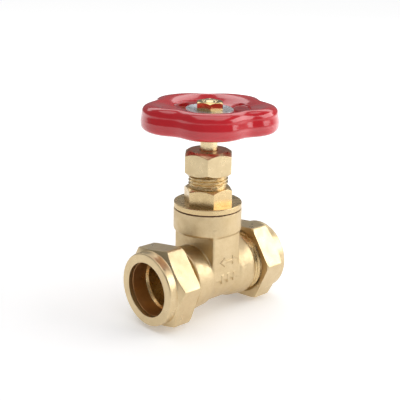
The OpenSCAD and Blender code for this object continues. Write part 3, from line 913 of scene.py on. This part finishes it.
def enamel():
    """Thick red enamel with a clear gloss and a faint orange peel."""
    nodes = Nodes("red_enamel")
    shader = nodes.shader
    runs, gloss, peel, dust = 60, 300, 190, 900
    cloud = nodes.ramp(nodes.noise(runs, 3, 0.5), 0.35, 0.65)
    nodes.link(nodes.mix(cloud, (0.52, 0.008, 0.016), (0.60, 0.014, 0.024)), shader.inputs["Base Color"])
    nodes.link(nodes.ramp(nodes.noise(gloss, 3, 0.6), 0.3, 0.7, 0.10, 0.17), shader.inputs["Roughness"])
    shader.inputs["IOR"].default_value = 1.55
    shader.inputs["Coat Weight"].default_value = 0.5
    shader.inputs["Coat Roughness"].default_value = 0.04
    normal = nodes.bump(nodes.noise(peel, 2, 0.4), 0.10, 0.0006)
    nodes.link(nodes.bump(nodes.noise(dust, 2, 0.4), 0.05, 0.0001, normal), shader.inputs["Normal"])
    return nodes.material


def zinc():
    """Silver washer, half bright and faintly brushed."""
    nodes = Nodes("zinc_matt")
    shader = nodes.shader
    shader.inputs["Metallic"].default_value = 0.85
    blotches, polish, brushing = 240, 700, 2400
    cloud = nodes.ramp(nodes.noise(blotches, 4, 0.6), 0.35, 0.7)
    nodes.link(nodes.mix(cloud, (0.70, 0.70, 0.72), (0.58, 0.58, 0.61)), shader.inputs["Base Color"])
    nodes.link(nodes.ramp(nodes.noise(polish, 3, 0.6), 0.3, 0.7, 0.24, 0.34), shader.inputs["Roughness"])
    nodes.link(nodes.bump(nodes.noise(brushing, 2, 0.6), 0.25, 0.0001), shader.inputs["Normal"])
    return nodes.material


def plain(name, colour, shade, rough, scale):
    """Non-metal for the parts inside: mottled colour, uneven surface."""
    nodes = Nodes(name)
    shader = nodes.shader
    mottle = nodes.ramp(nodes.noise(scale, 4, 0.6), 0.35, 0.65)
    nodes.link(nodes.mix(mottle, colour, shade), shader.inputs["Base Color"])
    sheen = nodes.ramp(nodes.noise(scale * 2, 2), 0.3, 0.7, rough - ROUGH_SPREAD, rough + ROUGH_SPREAD)
    nodes.link(sheen, shader.inputs["Roughness"])
    nodes.link(nodes.bump(nodes.noise(scale * 3, 3), 0.3, 0.0001), shader.inputs["Normal"])
    return nodes.material


MATERIALS = {
    "cast": brass("cast_brass", (0.70, 0.55, 0.33), (0.52, 0.37, 0.17), 0.42, grain=0.8),
    "thread": brass("threaded_brass", (0.74, 0.57, 0.31), (0.58, 0.40, 0.17), 0.27, rings=0.3, axis="pipe"),
    "nut": brass("nut_brass", (0.73, 0.58, 0.35), (0.54, 0.38, 0.18), 0.34,
                 grain=0.3, rings=0.25, axis="pipe"),
    "bonnet": brass("bonnet_brass", (0.70, 0.53, 0.29), (0.50, 0.35, 0.15), 0.29, grain=0.16, rings=0.1),
    "packing_nut": brass("packing_nut_brass", (0.70, 0.56, 0.34), (0.53, 0.39, 0.20), 0.31,
                         grain=0.16, rings=0.25),
    "stem": brass("stem_brass", (0.78, 0.63, 0.38), (0.6, 0.44, 0.22), 0.22, rings=0.35),
    "wheel_nut": brass("bright_brass", (0.74, 0.56, 0.26), (0.5, 0.33, 0.12), 0.14, rings=0.15),
    "copper": brass("soft_copper", (0.90, 0.58, 0.30), (0.70, 0.40, 0.19), 0.34, rings=0.3, axis="pipe"),
    "wedge": brass("wedge_brass", (0.66, 0.5, 0.26), (0.48, 0.33, 0.14), 0.4, grain=0.5),
    "enamel": enamel(),
    "zinc": zinc(),
    "graphite": plain("pressed_graphite", (0.03, 0.03, 0.033), (0.07, 0.07, 0.075), 0.5, 900),
    "fibre": plain("fibre_gasket", (0.16, 0.055, 0.03), (0.10, 0.03, 0.016), 0.75, 600),
    "acetal": plain("acetal_washer", (0.80, 0.79, 0.74), (0.74, 0.72, 0.66), 0.4, 300),
}


# ---------------------------------------------------------------------------------------------------
# the valve
# ---------------------------------------------------------------------------------------------------

def dress(thing, material):
    """Gives an object one material in place of what it had."""
    thing.data.materials.clear()
    thing.data.materials.append(MATERIALS[material])


def fit(thing, body, material, node):
    """Gives a piece its material and its CAD body, and hides the CAD node it stands in for."""
    dress(thing, material)
    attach(thing, body)
    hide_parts(node)


fit(make_casting(), "valve_body", "cast", "body")
for end_side in (-1, 1):
    fit(make_threaded_end(end_side), "valve_body", "thread", "body")
for end, end_side, end_corner in (("inlet", -1, 21), ("outlet", 1, 25)):
    end_nut = make_compression_nut(end + "_nut", end_side, math.radians(end_corner))
    fit(end_nut, end + "_clamp", "nut", end + "_nut")
    fit(make_olive(end + "_olive", end_side), end + "_ring", "copper", end + "_olive")
fit(make_bonnet(), "valve_body", "bonnet", "bonnet")
fit(make_packing_nut(), "gland_nut", "packing_nut", "packing_nut")
fit(make_stem(), "spindle", "stem", "stem")
fit(make_wheel_nut(), "spindle", "wheel_nut", "wheel_nut")
fit(make_hub_disc(), "spindle", "zinc", "hub_disc")
fit(make_handwheel(), "spindle", "enamel", "handwheel")
fit(make_wheel_hub(), "spindle", "enamel", "handwheel")

# CAD nodes whose shape is right as it is, and their materials.
KEPT_NODES = {
    "wedge": "wedge", "gland_follower": "bonnet", "thrust_washer": "acetal", "bonnet_gasket": "fibre",
    "packing_ring_lower": "graphite", "packing_ring_middle": "graphite", "packing_ring_upper": "graphite",
}
for kept_node, kept_material in KEPT_NODES.items():
    dress(frame["nodes"][kept_node], kept_material)


# ---------------------------------------------------------------------------------------------------
# floor and light
# ---------------------------------------------------------------------------------------------------

def make_floor(level):
    """Pale sheet under the valve with a painted glow, as if backlit: it brightens the valve's undersides and
    washes out its shadow, and glows a little more far out so that it stays white there.
    """
    half_side, near, far, near_glow, far_glow = 4.0, 0.15, 1.0, 0.26, 0.78
    corners = [(half_side * x, half_side * y, level) for x, y in ((-1, -1), (1, -1), (1, 1), (-1, 1))]
    mesh = bpy.data.meshes.new("floor")
    mesh.from_pydata(corners, [], [(0, 1, 2, 3)])
    floor = add_object("floor", mesh)
    nodes = Nodes("pale_floor")
    inputs = nodes.shader.inputs
    nodes.link(nodes.mix(nodes.noise(8, 2), (0.90, 0.90, 0.90), (0.93, 0.93, 0.93)), inputs["Base Color"])
    inputs["Roughness"].default_value = 0.9
    inputs["Specular IOR Level"].default_value = 0.1
    x, y, _ = nodes.split(nodes.place)
    # Painted glow: the floor gives off light though it is no lamp, weaker near the valve and stronger far out.
    inputs["Emission Color"].default_value = (1, 1, 1, 1)
    nodes.link(nodes.ramp(nodes.length(x, y), near, far, near_glow, far_glow), inputs["Emission Strength"])
    floor.data.materials.append(nodes.material)


def make_light(name, bearing, elevation, distance, size, brightness):
    """Soft box facing the valve's middle from a bearing and elevation in degrees."""
    data = bpy.data.lights.new(name, "AREA")
    data.shape = "RECTANGLE"
    data.size, data.size_y = size
    data.energy = brightness * math.pi * size[0] * size[1]
    lamp = add_object(name, data)
    b, e = math.radians(bearing), math.radians(elevation)
    way = Vector((math.cos(b) * math.cos(e), math.sin(b) * math.cos(e), math.sin(e)))
    middle = Vector((STEM_X * MM, 0, VALVE_MIDDLE_M))
    lamp.location = middle + way * distance
    lamp.rotation_euler = way.to_track_quat("Z", "Y").to_euler()


def make_world(strength):
    """Even grey light from all round."""
    world = bpy.data.worlds.new("studio")
    world.use_nodes = True
    background = world.node_tree.nodes["Background"]
    background.inputs["Color"].default_value = (1, 1, 1, 1)
    background.inputs["Strength"].default_value = strength
    bpy.context.scene.world = world


VALVE_MIDDLE_M = 0.035
WORLD_STRENGTH = 0.2
LIGHTS = (                  # name, bearing, elevation, distance, size, brightness
    ("overhead", 227, 84, 1.1, (1.3, 1.3), 1.4),
    ("rear", 47, 41, 1.5, (3.4, 0.55), 1.35),
    ("right", 318, 22, 0.8, (0.8, 0.5), 2.9),
    ("front", 250, 48, 0.8, (0.25, 0.2), 0.8),
)

bpy.context.scene.view_settings.view_transform = "Standard"
make_floor(cad_box[0][2])
make_world(WORLD_STRENGTH)
for light in LIGHTS:
    make_light(*light)
